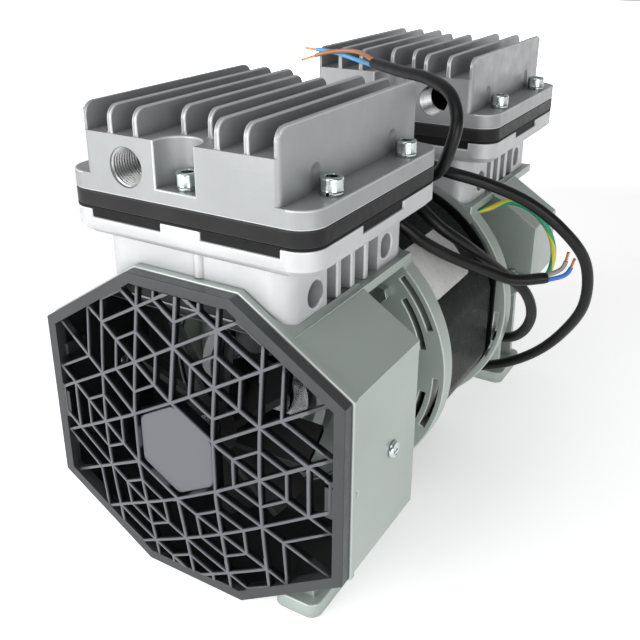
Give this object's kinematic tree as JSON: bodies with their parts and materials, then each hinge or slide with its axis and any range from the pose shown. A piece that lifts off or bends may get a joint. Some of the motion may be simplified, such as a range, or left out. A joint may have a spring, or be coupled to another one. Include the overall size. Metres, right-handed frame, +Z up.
{
  "type": "oil-free compressor pump head",
  "caption": "Oil-free piston compressor pump head: motor between opposed crank drives, finned cast heads with threaded ports, fan grille and mounting feet.",
  "frame": {"origin": "centre of the base on the floor, below the middle of the unit, cables left out", "axes": "+Z up; +Y along the motor shaft from the grille to the rear cover; +X to the right of the grille"},
  "size_m": [0.1774, 0.2838, 0.2021],
  "materials": {
    "grille_plastic": "fine grained black moulded plastic",
    "case_cast": "satin, machined and blasted die casting",
    "block_cast": "fine blasted die casting",
    "head_cast": "fine blasted die casting",
    "plate_black": "satin black coating",
    "gasket_black": "matte",
    "zinc_screw": "bright zinc plated steel",
    "bare_steel": "ground steel",
    "liner_hard": "honed, hard anodised",
    "spring_steel": "blued spring steel strip",
    "piston_cast": "die cast",
    "seal_filled": "brown filled PTFE",
    "iron_crank": "machined cast iron",
    "fan_plastic": "black moulded nylon",
    "lamination": "black painted steel laminations",
    "core_steel": "stacked steel laminations",
    "winding_copper": "varnished copper wire",
    "label_foil": "plain silver foil label, blank",
    "cable_black": "black cable sheath",
    "core_colour": "brown and blue insulation",
    "earth_colour": "green and yellow insulation",
    "terminal_tin": "tinned copper"
  },
  "bodies": {
    "housing": {"front_crankcase": "case_cast", "front_block": "block_cast", "front_liner": "liner_hard", "front_gasket": "gasket_black", "front_valve_plate": "plate_black", "front_head": "head_cast", "front_head_screws": "zinc_screw", "front_head_washers": "zinc_screw", "front_reed_rivets": "bare_steel", "front_main_bearing": "bare_steel", "rear_crankcase": "case_cast", "rear_block": "block_cast", "rear_liner": "liner_hard", "rear_gasket": "gasket_black", "rear_valve_plate": "plate_black", "rear_head": "head_cast", "rear_head_screws": "zinc_screw", "rear_head_washers": "zinc_screw", "rear_reed_rivets": "bare_steel", "rear_main_bearing": "bare_steel", "front_grille": "grille_plastic", "rear_cover": "grille_plastic", "rear_cover_screws": "zinc_screw", "motor_shell": "lamination", "stator_core": "core_steel", "end_windings": "winding_copper", "tie_bolts": "zinc_screw", "side_screws": "zinc_screw", "label": "label_foil", "cable_glands": "cable_black", "front_cable": "cable_black", "front_cable_cores": "core_colour", "side_cable": "cable_black", "side_cable_cores": "core_colour", "earth_wire": "earth_colour", "earth_terminal": "terminal_tin", "earth_screw": "zinc_screw"},
    "rotor": {"shaft": "bare_steel", "rotor_core": "core_steel", "front_crank": "iron_crank", "front_crank_bearing": "bare_steel", "front_fan_arbor": "bare_steel", "front_fan": "fan_plastic", "rear_crank": "iron_crank", "rear_crank_bearing": "bare_steel", "rear_fan_arbor": "bare_steel", "rear_fan": "fan_plastic"},
    "front_piston_body": {"front_piston": "piston_cast", "front_cup_seal": "seal_filled", "front_piston_cap": "piston_cast"},
    "front_inlet_leaf": {"front_inlet_reed": "spring_steel"},
    "front_outlet_leaf": {"front_outlet_reed": "spring_steel"},
    "rear_piston_body": {"rear_piston": "piston_cast", "rear_cup_seal": "seal_filled", "rear_piston_cap": "piston_cast"},
    "rear_inlet_leaf": {"rear_inlet_reed": "spring_steel"},
    "rear_outlet_leaf": {"rear_outlet_reed": "spring_steel"}
  },
  "joints": [
    {"name": "shaft_spin", "type": "hinge", "parent": "housing", "child": "rotor", "pos_m": [0, 0.0056, 0.074], "axis": [0, 1, 0], "continuous": true},
    {"name": "front_piston_slide", "type": "slide", "parent": "housing", "child": "front_piston_body", "axis": [0, 0, 1], "range_m": [-0.007, 0.007]},
    {"name": "front_inlet_flap", "type": "hinge", "parent": "housing", "child": "front_inlet_leaf", "pos_m": [-0.008, -0.0779, 0.16215], "axis": [0, 1, 0], "range_deg": [-2.5, 0], "stiffness_Nm_per_rad": 0.02},
    {"name": "front_outlet_flap", "type": "hinge", "parent": "housing", "child": "front_outlet_leaf", "pos_m": [0.008, -0.0779, 0.16885], "axis": [0, 1, 0], "range_deg": [-4, 0], "stiffness_Nm_per_rad": 0.02},
    {"name": "rear_piston_slide", "type": "slide", "parent": "housing", "child": "rear_piston_body", "axis": [0, 0, 1], "range_m": [-0.007, 0.007]},
    {"name": "rear_inlet_flap", "type": "hinge", "parent": "housing", "child": "rear_inlet_leaf", "pos_m": [-0.008, 0.0891, 0.16215], "axis": [0, 1, 0], "range_deg": [-2.5, 0], "stiffness_Nm_per_rad": 0.02},
    {"name": "rear_outlet_flap", "type": "hinge", "parent": "housing", "child": "rear_outlet_leaf", "pos_m": [0.008, 0.0891, 0.16885], "axis": [0, 1, 0], "range_deg": [-4, 0], "stiffness_Nm_per_rad": 0.02}
  ],
  "couplings": [
    {"joint": "rear_piston_slide", "follows": "front_piston_slide", "ratio": -1}
  ]
}
